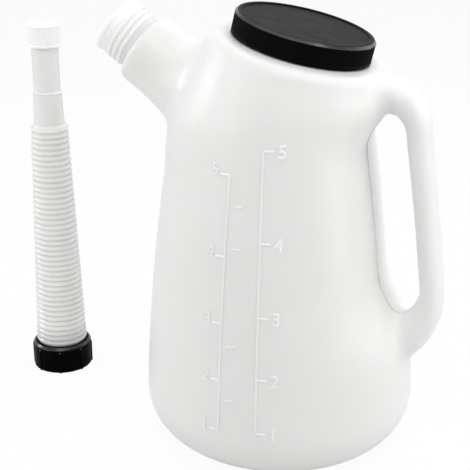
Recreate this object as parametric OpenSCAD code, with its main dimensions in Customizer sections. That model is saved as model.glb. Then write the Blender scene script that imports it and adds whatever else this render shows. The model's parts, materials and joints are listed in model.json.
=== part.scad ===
// Oil measuring jug of five litres: a blown body with a handle and a pouring spout,
// a ribbed screw lid, and a flexible pouring spout that stands beside it.
// The base's middle is the origin, the handle is towards +X, the spout towards -X,
// the measuring scale faces -Y and +Z is up. Sizes are in millimetres.

/* [Body] */
// Diameter of the body just above its rounded base
body_d = 190; // [180:1:202]
// Radius of the rounding between the base and the side
base_round = 36; // [20:1:44]
// Diameter of the body where the shoulder starts
shoulder_d = 146; // [136:1:154]
// How far the side swells out beyond a straight cone
belly = 3.5; // [0:0.5:6]
// Wall thickness of the blown skin
wall = 1.8; // [1.6:0.1:2.4]

/* [Platform and neck] */
// Height of the middle of the tilted platform around the neck
platform_z = 278; // [270:1:288]
// Offset of the platform's middle towards the handle
platform_x = 11; // [8:1:14]
// Diameter of the platform, over its rounded edge
platform_d = 123; // [118:1:130]
// Rounding of the platform's edge
platform_round = 8; // [5:0.5:10]
// Height of the shoulder below the platform's middle
shoulder_h = 42; // [36:1:48]
// Tilt of the platform and neck towards the handle, in degrees
neck_tilt = 13.2; // [10:0.2:15]
// Outer diameter of the neck's wall
neck_d = 85; // [80:0.5:90]
// Height of the neck above the platform
neck_h = 11.8; // [11:0.2:12]
// Rise of the neck's thread in one turn
neck_pitch = 5; // [4:0.5:6]

/* [Spout] */
// Rise of the spout above the horizontal, in degrees
spout_rise = 35; // [32:0.5:38]
// Reach of the spout's shoulder beyond the body's shoulder
spout_reach = 28; // [26:0.5:31]
// Height of the spout's shoulder below the platform's middle
spout_drop = 5.5; // [0:0.5:10]
// Diameter of the spout behind its shoulder
spout_d = 51; // [48:0.5:56]
// Diameter of the spout's mouth at the root of its thread
mouth_d = 39; // [36:0.5:41]
// Bore of the spout's mouth
mouth_bore = 34.4; // [30:0.2:35]
// Length of the spout's mouth from its shoulder to its rim
mouth_l = 24; // [20:0.5:30]
// Rise of the mouth's thread in one turn
mouth_pitch = 4.2; // [3.6:0.1:5]

/* [Handle] */
// Clear gap between the body and the grip
tunnel_gap = 28.5; // [26:0.5:34]
// Depth by which the finger gap cuts into the body's side
tunnel_cut = 19.5; // [16:0.5:24]
// Height of the finger gap's lower end
tunnel_low = 100; // [90:1:115]
// Drop of the finger gap's upper end below the platform's middle
tunnel_drop = 36.5; // [30:0.5:40]
// Thickness of the grip, seen from the side
grip_t = 15.6; // [13:0.2:18]
// Width of the grip, seen from behind
grip_w = 30; // [26:1:36]

/* [Scale] */
// Highest number of marks on each scale line, as far as the body holds them
litres = 5; // [3:1:5]
// Height of the raised marks above the skin
mark_rise = 0.5; // [0.3:0.1:0.8]
// Width of the raised lines
mark_w = 1.4; // [1:0.1:2]

/* [Lid] */
// Thickness of the lid's skirt, from its bore to the tops of its ribs
lid_wall = 2.9; // [2.6:0.1:4.5]
// Height of the lid
lid_h = 15.2; // [14.6:0.2:18]
// Number of fine ribs round the lid
lid_ribs = 120; // [60:2:140]
// Thickness of the soft sealing disc
liner_t = 1.4; // [1:0.1:2]

/* [Flexible spout] */
// Place of the standing flexible spout beside the jug
flex_x = -196; // [-230:1:-185]
// Place of the standing flexible spout behind the jug's middle
flex_y = 35; // [20:1:50]
// Height of the ribbed length above its collar's foot
ribbed_h = 199; // [180:1:215]
// Number of ridges along the flexible spout
ridges = 42; // [30:1:48]
// Outer diameter at the lowest ridge
flex_d_low = 40; // [39:0.2:41]
// Outer diameter at the highest ridge
flex_d_top = 28.6; // [26:0.2:32]
// Depth of the grooves between the ridges
ridge_depth = 1.3; // [0.8:0.1:1.6]
// Wall thickness of the flexible spout
flex_wall = 1.4; // [1.2:0.1:1.8]
// Length of the straight nozzle above its ring bead
nozzle_l = 50; // [38:1:60]
// Outer diameter of the straight nozzle
nozzle_d = 20; // [18:0.2:21]

/* [Collar and cap] */
// Height of the collar nut
collar_h = 21.5; // [20:0.5:26]
// Wall thickness of the collar nut
collar_wall = 2.2; // [2:0.1:3]
// Number of grip ribs round the collar nut
collar_ribs = 8; // [6:1:12]
// Outer diameter of the nozzle's cap over its ribs
cap_d = 24; // [23.6:0.1:26]
// Height of the nozzle's cap
cap_h = 17.5; // [15:0.5:20]
// Number of fine ribs round the cap
cap_ribs = 36; // [24:2:48]

/* [Hidden] */
$fn = 96;
// Sides of the lofted skins and steps of the curves along them
skin_sides = 48;
spout_sides = 32;
grip_sides = 16;
path_steps = 3;
// Running clearance between pieces that move apart
clear = 0.3;
// Overlap that joins the pieces of one moulding
sink = 0.6;
// Small break of the moulded edges, and the larger one of the pouring rims
edge = 0.4;
rim_edge = 0.8;
// Sharpness of the corners beside the finger gap
corner_power = 5;
// Height over which the finger gap's flat fades in and out, and its reach above the gap
fade_low = 50;
fade_high = 36;
fade_over = 8;
// Roundness of the grip's section, from a box at 0 to an ellipse at 1
grip_soft = 0.85;
// Rounding of the spout's shoulder, and the flare towards its root
spout_round = 3;
flare = 7;
flare_start = 14;
flare_l = 34;
shoulder_z = platform_z - shoulder_h;
tunnel_top = platform_z - tunnel_drop;
spout_x = -(shoulder_d / 2 + spout_reach);
spout_z = platform_z - spout_drop;
platform_normal = [sin(neck_tilt), 0, cos(neck_tilt)];
// Depth of the coarse threads, the share of a turn that a ridge fills, and its facets a turn
thread_depth = 1.1;
thread_fill = 0.34;
thread_steps = 30;
run_out_steps = 6;
// Start of each thread on its own axis, and its turns
neck_thread_z = 2.6;
neck_turns = 1.4;
lid_thread_z = neck_thread_z + neck_pitch * (1 - thread_fill);
lid_turns = 1;
collar_thread_z = 2.4;
collar_turns = 2.5;
mouth_thread_d = mouth_d + 2 * thread_depth;
neck_thread_d = neck_d + 2 * thread_depth;
// Lid, measured along the neck's axis from the platform
lid_gap = 0.8;
lid_top_t = 2.2;
rib_depth = 0.5;
lid_bore = neck_thread_d + 2 * clear;
lid_d = lid_bore + 2 * lid_wall;
liner_z = lid_gap + lid_h - lid_top_t - clear - liner_t;
lid_lip_h = 1.8;
lid_brim = 2;
lid_chamfer = 1.8;
lid_rim = 2.6;
lid_sunk = 0.9;
// Collar, measured from the surface that it stands on
collar_bore = mouth_thread_d + 2 * clear;
collar_d = collar_bore + 2 * collar_wall;
collar_roof = 2.2;
collar_chamfer = 2;
collar_rib_r = 1.4;
flange_t = 2.4;
flange_z = collar_h - collar_roof - clear - flange_t;
flange_d = collar_bore - 1;
// Flexible spout, measured from the same surface
ridge_pitch = (ribbed_h - collar_h) / ridges;
flex_neck_d = flex_d_low - 2 * ridge_depth;
cone_h = 26;
cone_d_low = nozzle_d + 3.4;
cone_d_top = nozzle_d + 1.2;
bead_z = ribbed_h + cone_h;
flex_h = bead_z + nozzle_l;
bead_rise = 0.5;
cap_top_t = 1.6;
cap_lip_h = 1.6;
cap_chamfer = 1;
cap_z = flex_h + clear + cap_top_t - cap_h;
// Walls and rim band of the neck and the mouth
neck_wall = 2.6;
mouth_rim = 3.6;
mouth_rim_rise = 0.7;
// Capacity units in cubic millimetres, and the slices in which the body's volume is added up
litre = 1e6;
quart = 946353;
slice = 2;
// Angle of the two scale lines from the front, and the length of their ticks
scale_angle = 7.8;
tick_l = 8;

// Value between a and b
function between(a, b, t) = a + (b - a) * t;

// Smooth step from 0 to 1
function ease(t) =
    let (u = min(max(t, 0), 1))
    u * u * (3 - 2 * u);

// Radius of the body's side at a height
function side_r(z) =
    let (t = (z - base_round) / (shoulder_z - base_round))
    between(body_d, shoulder_d, t) / 2 + 4 * belly * t * (1 - t);

// How far the side is flattened for the fingers at a height, from 0 to 1
function flattened(z) =
    ease((z - tunnel_low) / fade_low + 0.5) * ease((tunnel_top + fade_over - z) / fade_high);

// Distance x drawn in to a wall by a soft corner, on a round of radius r
function drawn_in(x, r, limit) =
    let (soft = r / pow(pow(r / limit, corner_power) - 1, 1 / corner_power))
    x <= 0 ? x : x / pow(1 + pow(x / soft, corner_power), 1 / corner_power);

// One ring of the body: its middle, its tilt, its radius and the share of flattening
function body_ring(mid, tilt, r, flat) = [
    for (i = [0:skin_sides - 1])
        let (
            a = 360 * i / skin_sides,
            x = between(r * cos(a), drawn_in(r * cos(a), r, r - tunnel_cut), flat)
        )
        [mid[0] + x * cos(tilt), r * sin(a), mid[1] - x * sin(tilt)]
];

// Ring of the upright part of the body, inside a wall of the given thickness
function side_ring(z, inset) = body_ring([0, z], 0, side_r(z) - inset, flattened(z));

// Ring of the leaning shoulder, from the body at 0 to the platform's edge at 1
function shoulder_ring(t, inset) =
    let (
        top = [platform_x, platform_z] - platform_round * [platform_normal[0], platform_normal[2]],
        mid = between([0, shoulder_z], top, t),
        r = between(shoulder_d, platform_d, pow(t, 1.25)) / 2 - inset,
        tilt = neck_tilt * t
    )
    body_ring(mid, tilt, r, flattened(mid[1] - r * sin(tilt)));

// Ring of the platform's rounded edge at an angle of that rounding
function edge_ring(a, inset) =
    let (
        round = platform_round - inset,
        drop = platform_round - round * sin(a),
        mid = [platform_x, platform_z] - drop * [platform_normal[0], platform_normal[2]]
    )
    body_ring(mid, neck_tilt, platform_d / 2 - platform_round + round * cos(a), 0);

// All rings of the body from its base to its platform
function body_rings(inset) = [
    for (a = [0:18:90])
        let (round = base_round - inset)
        body_ring(
            [0, base_round - round * cos(a)], 0,
            body_d / 2 - base_round + round * sin(a),
            flattened(base_round - round * cos(a))
        ),
    for (i = [1:10]) side_ring(between(base_round, shoulder_z, i / 10), inset),
    for (i = [1:5]) shoulder_ring(i / 5, inset),
    for (a = [30:30:90]) edge_ring(a, inset)
];

// Radius of the spout at a distance behind its shoulder
function spout_r(s) =
    s < spout_round
        ? spout_d / 2 - spout_round + sqrt(pow(spout_round, 2) - pow(spout_round - s, 2))
        : spout_d / 2 + flare * pow(max(s - flare_start, 0) / flare_l, 2);

// Rings of the spout from its shoulder into the body
function spout_rings(inset) = [
    for (s = [inset, inset + 1, spout_round, 12, 20, 27, 34, 41, 48, 56])
        let (r = spout_r(s) - inset)
        [
            for (i = [0:spout_sides - 1])
                let (
                    a = 360 * i / spout_sides,
                    u = s * cos(spout_rise) + r * cos(a) * sin(spout_rise),
                    v = -s * sin(spout_rise) + r * cos(a) * cos(spout_rise)
                )
                [spout_x + u, -r * sin(a), spout_z + v]
        ]
];

// Middle of the grip at a height
function grip_x(z) = side_r(z) - tunnel_cut + tunnel_gap + grip_t / 2;

// Stations of the handle from its upper root to its lower one:
// place, half thickness and half width
high = tunnel_top - 24;
low = tunnel_low + 16;
half_t = grip_t / 2;
half_w = grip_w / 2;
handle_stations = [
    [grip_x(high) - 47, tunnel_top + 13, half_t + 2, half_w + 8],
    [grip_x(high) - 27, tunnel_top + 12, half_t + 3, half_w + 4],
    [grip_x(high) - 12, tunnel_top + 7, half_t + 2.6, half_w + 2],
    [grip_x(high) - 3, tunnel_top - 5, half_t + 0.8, half_w + 0.5],
    [grip_x(high), high, half_t, half_w],
    [grip_x((high + low) / 2), (high + low) / 2, half_t, half_w],
    [grip_x(low + 30), low + 30, half_t, half_w],
    [grip_x(low), low - 1, half_t + 0.3, half_w + 0.5],
    [grip_x(low) - 5.5, low - 19, half_t + 3.2, half_w + 2],
    [grip_x(low) - 17.5, low - 32, half_t + 6.5, half_w + 5],
    [grip_x(low) - 36, low - 45, half_t + 5, half_w + 9]
];

// Smooth curve through four neighbouring stations
function curve(p, i, t) =
    let (a = p[i - 1], b = p[i], c = p[i + 1], d = p[i + 2])
    0.5 * (2 * b + (c - a) * t + (2 * a - 5 * b + 4 * c - d) * t * t + (3 * b - a - 3 * c + d) * t * t * t);

handle_path = let (
    n = len(handle_stations),
    p = concat(
        [2 * handle_stations[0] - handle_stations[1]],
        handle_stations,
        [2 * handle_stations[n - 1] - handle_stations[n - 2]]
    )
) [
    for (i = [1:n - 1], k = [0:path_steps - 1]) curve(p, i, k / path_steps),
    handle_stations[n - 1]
];

// Rings of the handle, with a section between an ellipse and a rounded box
function handle_rings(inset) =
    let (n = len(handle_path))
    [
        for (i = [0:n - 1])
            let (
                p = handle_path[i],
                ahead = handle_path[min(i + 1, n - 1)],
                behind = handle_path[max(i - 1, 0)],
                dx = ahead[0] - behind[0],
                dz = ahead[1] - behind[1],
                out = [-dz, dx] / norm([dx, dz])
            )
            [
                for (k = [0:grip_sides - 1])
                    let (
                        a = 360 * k / grip_sides,
                        u = (p[2] - inset) * sign(cos(a)) * pow(abs(cos(a)), grip_soft),
                        v = (p[3] - inset) * sign(sin(a)) * pow(abs(sin(a)), grip_soft)
                    )
                    [p[0] + u * out[0], -v, p[1] + u * out[1]]
            ]
    ];

// Area inside one level ring
function ring_area(p) =
    let (n = len(p))
    0.5 * abs([for (i = [0:n - 1]) p[i][0] * p[(i + 1) % n][1] - p[(i + 1) % n][0] * p[i][1]]
        * [for (i = [0:n - 1]) 1]);

// Inside area of the body at a height, with the hollow grip beside it
function level_area(z) =
    let (
        round = base_round - wall,
        r_low = body_d / 2 - base_round + sqrt(pow(round, 2) - pow(max(base_round - z, 0), 2)),
        in_grip = z > tunnel_low && z < tunnel_top ? 3.5 * (half_t - wall) * (half_w - wall) : 0
    )
    z < base_round ? PI * r_low * r_low : ring_area(side_ring(z, wall)) + in_grip;

// Volume that the body holds below a height
function held_below(top, z = wall + slice / 2) =
    z > top ? 0 : level_area(z) * slice + held_below(top, z + slice);

// Height of the oil in the body when it holds a volume
function oil_level(volume, z = wall + slice / 2) =
    let (held = level_area(z) * slice)
    volume <= held ? z - slice / 2 + volume / level_area(z) : oil_level(volume - held, z + slice);

// Highest point of the blown skin, on the spout's rounded shoulder
skin_top = max([for (r = spout_rings(0)) each [for (p = r) p[2]]]);

// Closed skin through a list of rings
module loft(rings) {
    n = len(rings[0]);
    m = len(rings);
    polyhedron(
        points = [for (r = rings) each r],
        faces = concat(
            [[for (i = [0:n - 1]) i]],
            [for (j = [0:m - 2], i = [0:n - 1]) [j * n + i, (j + 1) * n + i, j * n + (i + 1) % n]],
            [for (j = [0:m - 2], i = [0:n - 1])
                [(j + 1) * n + i, (j + 1) * n + (i + 1) % n, j * n + (i + 1) % n]],
            [[for (i = [n - 1:-1:0]) (m - 1) * n + i]]
        )
    );
}

// Ridge of a coarse thread on a round of diameter d, with its ends run out
module thread(d, pitch, turns, inward = false) {
    n = round(turns * thread_steps);
    side = inward ? -1 : 1;
    loft([
        for (i = [0:n])
            let (
                a = 360 * i / thread_steps,
                z = pitch * i / thread_steps,
                run = min(1, 0.25 + min(i, n - i) / run_out_steps),
                root = d / 2 - side * sink / 2,
                crest = d / 2 + side * thread_depth * run,
                half = pitch * thread_fill / 2,
                tip = half / 2
            )
            [
                for (p = inward
                    ? [[crest, tip], [root, half], [root, -half], [crest, -tip]]
                    : [[root, half], [crest, tip], [crest, -tip], [root, -half]])
                    [p[0] * cos(a), p[0] * sin(a), z + p[1]]
            ]
    ]);
}

// Places a piece on the neck's tilted axis, measured from the platform
module on_neck() {
    translate([platform_x, 0, platform_z]) rotate([0, neck_tilt, 0]) children();
}

// Places a piece on the spout's axis, measured outwards from its shoulder
module on_spout() {
    translate([spout_x, 0, spout_z]) rotate([0, spout_rise - 90, 0]) children();
}

// Places a piece on the standing flexible spout's upright axis
module on_flex() {
    translate([flex_x, flex_y, 0]) children();
}

// Raised mark on the front of the body, between two angles from the front and two heights
module mark(a0, a1, z0, z1, steps = 1) {
    loft([
        for (i = [0:steps])
            let (
                z = between(z0, z1, i / steps),
                outer = side_r(z) + mark_rise,
                inner = side_r(z) - wall / 2
            )
            [
                for (p = [[a0, outer], [a1, outer], [a1, inner], [a0, inner]])
                    [p[1] * sin(p[0]), -p[1] * cos(p[0]), z]
            ]
    ]);
}

// Upright scale line at an angle from the front, with a tick at each unit towards one side
module scale_line(angle, unit, side) {
    count = min(litres, floor(held_below(shoulder_z - mark_w) / unit));
    levels = [for (k = [1:count]) oil_level(k * unit)];
    half = mark_w / 2;
    half_angle = asin(mark_w / body_d);
    tick_angle = angle + side * asin(2 * tick_l / body_d);
    mark(angle - half_angle, angle + half_angle, levels[0] - half, levels[count - 1] + half, 12);
    for (z = levels) mark(min(angle, tick_angle), max(angle, tick_angle), z - half, z + half);
}

// Hollow blown skin with the holes behind the neck and the mouth
module blown_skin() {
    resize([0, 0, skin_top]) {
        difference() {
            union() {
                loft(body_rings(0));
                loft(spout_rings(0));
                loft(handle_rings(0));
                scale_line(scale_angle, litre, 1);
                scale_line(-scale_angle, quart, -1);
            }
            loft(body_rings(wall));
            loft(spout_rings(wall));
            loft(handle_rings(wall));
            on_neck() cylinder(d = neck_d - neck_wall, h = 6 * wall, center = true, $fn = 48);
            on_spout() cylinder(d = (mouth_d + mouth_bore) / 2, h = 6 * wall, center = true, $fn = 48);
        }
    }
}

// Threaded ring of the filler neck, on its own axis
module neck() {
    rotate_extrude()
        polygon([
            [neck_d / 2 - neck_wall, -wall / 2],
            [neck_d / 2, -wall / 2],
            [neck_d / 2, neck_h - rim_edge],
            [neck_d / 2 - rim_edge, neck_h],
            [neck_d / 2 - neck_wall, neck_h]
        ]);
    translate([0, 0, neck_thread_z]) thread(neck_d, neck_pitch, neck_turns);
}

// Threaded mouth of the spout, on its own axis
module mouth() {
    rotate_extrude()
        polygon([
            [mouth_bore / 2, -wall - sink],
            [mouth_d / 2, -wall - sink],
            [mouth_d / 2, mouth_l - mouth_rim],
            [mouth_d / 2 + mouth_rim_rise, mouth_l - mouth_rim + mouth_rim_rise],
            [mouth_d / 2 + mouth_rim_rise, mouth_l - rim_edge],
            [mouth_d / 2 + mouth_rim_rise - rim_edge, mouth_l],
            [mouth_bore / 2, mouth_l]
        ]);
    translate([0, 0, mouth_pitch * 0.6])
        thread(mouth_d, mouth_pitch, floor((mouth_l - mouth_rim) / mouth_pitch * 2) / 2 - 1);
}

// Blown one-piece jug: body, handle, spout, neck and scale
module jug_body() {
    color("#F1F1EC") {
        blown_skin();
        on_neck() neck();
        on_spout() mouth();
    }
}

// Ring of fine ribs with a tooth-shaped outline
module rib_ring(d, depth, count, h) {
    linear_extrude(h)
        difference() {
            polygon([
                for (i = [0:2 * count - 1])
                    let (a = 180 * i / count, r = d / 2 - (i % 2) * depth)
                    [r * cos(a), r * sin(a)]
            ]);
            circle(d = d - 2 * depth - 2 * sink);
        }
}

// Screw lid with a ribbed skirt, a bright chamfer and a sunk top
module lid() {
    core = lid_d / 2 - rib_depth - edge / 2;
    top = lid_gap + lid_h;
    rim_r = lid_d / 2 - lid_chamfer - lid_rim;
    color("#17181A") on_neck() {
        rotate_extrude()
            polygon([
                [lid_bore / 2, lid_gap],
                [lid_d / 2 - edge, lid_gap],
                [lid_d / 2, lid_gap + edge],
                [lid_d / 2, lid_gap + lid_lip_h],
                [core, lid_gap + lid_lip_h],
                [core, top - lid_brim],
                [lid_d / 2, top - lid_brim],
                [lid_d / 2 - lid_chamfer, top],
                [rim_r, top],
                [rim_r - lid_sunk, top - lid_sunk],
                [0, top - lid_sunk],
                [0, top - lid_top_t],
                [lid_bore / 2, top - lid_top_t]
            ]);
        translate([0, 0, lid_gap + lid_lip_h - edge / 2])
            rib_ring(lid_d - edge / 2, rib_depth, lid_ribs, lid_h - lid_lip_h - lid_brim + edge);
        translate([0, 0, lid_thread_z]) thread(lid_bore, neck_pitch, lid_turns, inward = true);
    }
}

// Soft disc that seals the lid against the neck's rim
module lid_liner() {
    color("#D9D6CC") on_neck()
        translate([0, 0, liner_z]) cylinder(d = lid_bore - 2 * clear, h = liner_t);
}

// Outline of the flexible spout's outside, from its flange up to its tip
flex_outline = concat(
    [
        [flange_d / 2, flange_z],
        [flange_d / 2, flange_z + flange_t],
        [flex_neck_d / 2, flange_z + flange_t],
        [flex_neck_d / 2, collar_h + clear]
    ],
    [
        for (i = [0:ridges - 1])
            let (
                z = collar_h + clear + i * ridge_pitch,
                r = between(flex_d_low, flex_d_top, i / (ridges - 1)) / 2
            )
            each [
                [r - (i == 0 ? 0 : ridge_depth), z],
                [r, z + 0.3 * ridge_pitch],
                [r, z + 0.6 * ridge_pitch],
                [r - ridge_depth, z + 0.9 * ridge_pitch]
            ]
    ],
    [
        [flex_d_top / 2 - ridge_depth, ribbed_h],
        [flex_d_top / 2 - ridge_depth, ribbed_h + edge],
        [cone_d_low / 2, ribbed_h + flex_wall],
        [cone_d_top / 2, bead_z - 2 * edge],
        [cone_d_top / 2 + bead_rise, bead_z - edge],
        [cone_d_top / 2 + bead_rise, bead_z + edge],
        [nozzle_d / 2, bead_z + 2 * edge],
        [nozzle_d / 2, flex_h - rim_edge],
        [nozzle_d / 2 - rim_edge, flex_h]
    ]
);

// Ribbed flexible spout with a flange at its foot and an open nozzle
module flex_spout() {
    low_bore = flex_d_low / 2 - ridge_depth - flex_wall;
    top_bore = flex_d_top / 2 - ridge_depth - flex_wall;
    color("#E6E6E2") on_flex()
        rotate_extrude()
            polygon(concat(flex_outline, [
                [nozzle_d / 2 - flex_wall, flex_h],
                [nozzle_d / 2 - flex_wall, bead_z],
                [cone_d_low / 2 - flex_wall, ribbed_h],
                [min(top_bore, cone_d_low / 2 - flex_wall), ribbed_h - flex_wall],
                [low_bore, collar_h + ridge_pitch],
                [flex_neck_d / 2 - flex_wall, collar_h],
                [flex_neck_d / 2 - flex_wall, flange_z]
            ]));
}

// Union nut that holds the flexible spout's flange, with grip ribs and a thread inside
module collar_nut() {
    color("#141416") on_flex() {
        rotate_extrude()
            polygon([
                [collar_bore / 2, 0],
                [collar_d / 2 - edge, 0],
                [collar_d / 2, edge],
                [collar_d / 2, collar_h - collar_chamfer],
                [collar_d / 2 - collar_chamfer, collar_h],
                [flex_neck_d / 2 + clear, collar_h],
                [flex_neck_d / 2 + clear, collar_h - collar_roof],
                [collar_bore / 2, collar_h - collar_roof]
            ]);
        for (i = [0:collar_ribs - 1])
            rotate(360 / collar_ribs * (i + 0.5))
                translate([collar_d / 2 - sink, 0, 0])
                    cylinder(r = collar_rib_r, h = collar_h - collar_chamfer - 2 * sink, $fn = 24);
        translate([0, 0, collar_thread_z]) thread(collar_bore, mouth_pitch, collar_turns, inward = true);
    }
}

// Closed cap with fine ribs on the nozzle's tip
module nozzle_cap() {
    core = cap_d / 2 - rib_depth;
    color("#F7F7F5") on_flex() translate([0, 0, cap_z]) {
        rotate_extrude()
            polygon([
                [nozzle_d / 2 + clear, 0],
                [cap_d / 2 - edge, 0],
                [cap_d / 2, edge],
                [cap_d / 2, cap_lip_h],
                [core, cap_lip_h],
                [core, cap_h - cap_chamfer - edge],
                [core - cap_chamfer, cap_h],
                [0, cap_h],
                [0, cap_h - cap_top_t],
                [nozzle_d / 2 + clear, cap_h - cap_top_t]
            ]);
        translate([0, 0, cap_lip_h - edge / 2])
            rib_ring(cap_d - edge / 2, rib_depth, cap_ribs, cap_h - cap_lip_h - cap_chamfer - edge);
    }
}

jug_body();
lid();
lid_liner();
flex_spout();
collar_nut();
nozzle_cap();
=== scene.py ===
# %% [markdown]
# # Oil measuring jug with a flexible spout
# A workshop jug of five litres, blown from milky plastic, with a black screw lid and a flexible
# spout that stands beside it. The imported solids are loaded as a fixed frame, and each visible piece
# is modelled again on top of them with softer edges, finer ribs and a real finish.

# %% Load the frame
import json
import math

import bmesh
import bpy
from mathutils import Matrix, Vector
from mathutils.bvhtree import BVHTree

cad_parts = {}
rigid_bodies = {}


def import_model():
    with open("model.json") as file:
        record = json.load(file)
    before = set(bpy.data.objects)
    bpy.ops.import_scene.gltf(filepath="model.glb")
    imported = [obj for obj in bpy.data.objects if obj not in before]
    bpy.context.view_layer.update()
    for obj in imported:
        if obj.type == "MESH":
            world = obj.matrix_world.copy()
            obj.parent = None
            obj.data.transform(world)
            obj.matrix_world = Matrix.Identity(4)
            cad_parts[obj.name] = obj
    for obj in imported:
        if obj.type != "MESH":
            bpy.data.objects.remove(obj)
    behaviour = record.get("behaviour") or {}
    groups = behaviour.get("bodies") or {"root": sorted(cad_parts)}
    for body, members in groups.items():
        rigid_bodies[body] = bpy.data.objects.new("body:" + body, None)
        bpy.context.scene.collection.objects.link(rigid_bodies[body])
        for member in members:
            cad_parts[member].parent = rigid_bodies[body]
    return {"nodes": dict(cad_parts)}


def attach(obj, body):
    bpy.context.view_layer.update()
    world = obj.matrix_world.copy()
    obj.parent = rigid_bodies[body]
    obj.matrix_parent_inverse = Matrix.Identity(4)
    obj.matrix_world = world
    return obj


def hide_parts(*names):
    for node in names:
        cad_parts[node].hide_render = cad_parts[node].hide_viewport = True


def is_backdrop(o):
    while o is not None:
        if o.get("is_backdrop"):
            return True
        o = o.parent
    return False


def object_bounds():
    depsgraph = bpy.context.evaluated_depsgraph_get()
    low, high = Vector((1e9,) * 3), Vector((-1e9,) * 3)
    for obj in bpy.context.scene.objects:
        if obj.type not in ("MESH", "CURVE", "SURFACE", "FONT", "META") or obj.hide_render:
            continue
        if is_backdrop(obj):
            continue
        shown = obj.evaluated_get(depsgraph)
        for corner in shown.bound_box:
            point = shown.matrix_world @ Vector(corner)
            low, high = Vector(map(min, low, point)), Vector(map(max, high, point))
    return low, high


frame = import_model()
cad_box = [list(corner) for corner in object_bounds()]
MM = 0.001

# %% [markdown]
# ## Two helpers for finishes
# Every finish below is a small tree of shader nodes. Colours are easier to pick as sRGB hex values,
# but shaders work in linear light, so one function converts them. Another adds a node with its
# settings and its links in one call, which keeps each tree short enough to read.

# %% Colours and nodes


def linear(hex_colour):
    """Linear colour of an sRGB hex value such as F2F1EC."""
    srgb = [int(hex_colour[i:i + 2], 16) / 255 for i in (0, 2, 4)]
    return [c / 12.92 if c <= 0.04045 else ((c + 0.055) / 1.055) ** 2.4 for c in srgb] + [1]


def add_node(tree, kind, inputs=None, **settings):
    """Adds a shader node, applies its settings and sets or links its inputs."""
    made = tree.nodes.new("ShaderNode" + kind)
    for name, value in settings.items():
        setattr(made, name, value)
    for name, value in (inputs or {}).items():
        if isinstance(value, bpy.types.NodeSocket):
            tree.links.new(value, made.inputs[name])
        else:
            made.inputs[name].default_value = value
    return made


print("a mid grey of 808080 is", round(linear("808080")[0], 3), "in linear light")

# %% [markdown]
# ## Moulded plastic
# All the plastics here come out of a mould, and share its marks: colour that is cloudy where the wall
# is thicker, gloss that is not quite even, and a fine grain. One function builds that, with the sizes
# in millimetres. A picture of plastic could be used as well, but noise nodes have no seams.

# %% A moulded finish


def per_metre(size_mm):
    """Scale of a texture whose pattern repeats about once in that many millimetres."""
    return 1 / (size_mm * MM)


def start_finish(name):
    """A new material with a principled shader, and the piece's own coordinates."""
    material = bpy.data.materials.new(name)
    material.use_nodes = True
    tree = material.node_tree
    tree.nodes.clear()
    shader = add_node(tree, "BsdfPrincipled")
    add_node(tree, "OutputMaterial", {"Surface": shader.outputs["BSDF"]})
    place = add_node(tree, "TexCoord").outputs["Object"]
    return material, tree, shader, place


def moulded_finish(name, colours, cloud_mm, rough, grain_mm, grain_depth_mm):
    """A moulded plastic: two close colours in soft clouds, uneven gloss and a fine grain."""
    material, tree, shader, place = start_finish(name)
    cloud = add_node(tree, "TexNoise", {"Vector": place, "Scale": per_metre(cloud_mm), "Detail": 3})
    tones = {0: cloud.outputs["Fac"], 6: linear(colours[0]), 7: linear(colours[1])}
    colour = add_node(tree, "Mix", tones, data_type="RGBA")
    gloss = add_node(tree, "TexNoise", {"Vector": place, "Scale": per_metre(cloud_mm / 4), "Detail": 2})
    uneven = add_node(tree, "MapRange", {"Value": gloss.outputs["Fac"], "From Min": 0.3, "From Max": 0.7,
                                         "To Min": rough[0], "To Max": rough[1]})
    grain = add_node(tree, "TexNoise", {"Vector": place, "Scale": per_metre(grain_mm), "Detail": 2})
    bump = add_node(tree, "Bump", {"Height": grain.outputs["Fac"], "Strength": 0.5,
                                   "Distance": grain_depth_mm * MM})
    tree.links.new(colour.outputs[2], shader.inputs["Base Color"])
    tree.links.new(uneven.outputs["Result"], shader.inputs["Roughness"])
    tree.links.new(bump.outputs["Normal"], shader.inputs["Normal"])
    return material, shader


print("a pattern of 2 mm has a scale of", round(per_metre(2)))

# %% [markdown]
# ## The milky plastics
# The jug is natural high-density polyethylene, blown against a blasted mould. Light enters the thin
# wall and scatters in it, so the edges glow and no shadow is hard. Subsurface scattering gives that.
# A white base colour alone would look like paint. The cap is plain white polypropylene.

# %% Milky finishes
NATURAL_IOR = 1.54
CAP_IOR = 1.49
SCATTER_TINT = (1, 1, 0.98)


def let_light_in(shader, weight, depth_mm):
    """Lets part of the light enter a milky plastic and scatter about so deep."""
    shader.inputs["IOR"].default_value = NATURAL_IOR
    shader.inputs["Subsurface Weight"].default_value = weight
    shader.inputs["Subsurface Radius"].default_value = SCATTER_TINT
    shader.inputs["Subsurface Scale"].default_value = depth_mm * MM


# Blown skin: a soft satin sheen, faint clouds where the wall is thicker, and shadows that never go
# black. The real blast grain is about 0.2 mm and is drawn coarser, so that it can show.
blown_plastic, shader = moulded_finish(
    "blown_polyethylene", ("ECECEB", "E6E6E5"), 70, (0.36, 0.46), 1.6, 0.03)
let_light_in(shader, 0.35, 4)

# Neck and mouth: the same plastic, open on both sides. Its colour is painted a little whiter, a painted
# glow for the light that comes through the wall.
glow_painted_plastic, shader = moulded_finish(
    "open_ended_polyethylene_painted_glow", ("FAFAF9", "F6F6F5"), 30, (0.3, 0.4), 1.6, 0.02)
let_light_in(shader, 0.15, 2)

# Ticks and litre numerals: a painted highlight. They are drawn whiter than the skin,
# for the light that their raised faces catch.
painted_highlight_marks, shader = moulded_finish(
    "raised_polyethylene_painted_highlight", ("F6F6F6", "F2F2F2"), 20, (0.3, 0.4), 0.9, 0.01)
shader.inputs["IOR"].default_value = NATURAL_IOR

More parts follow.
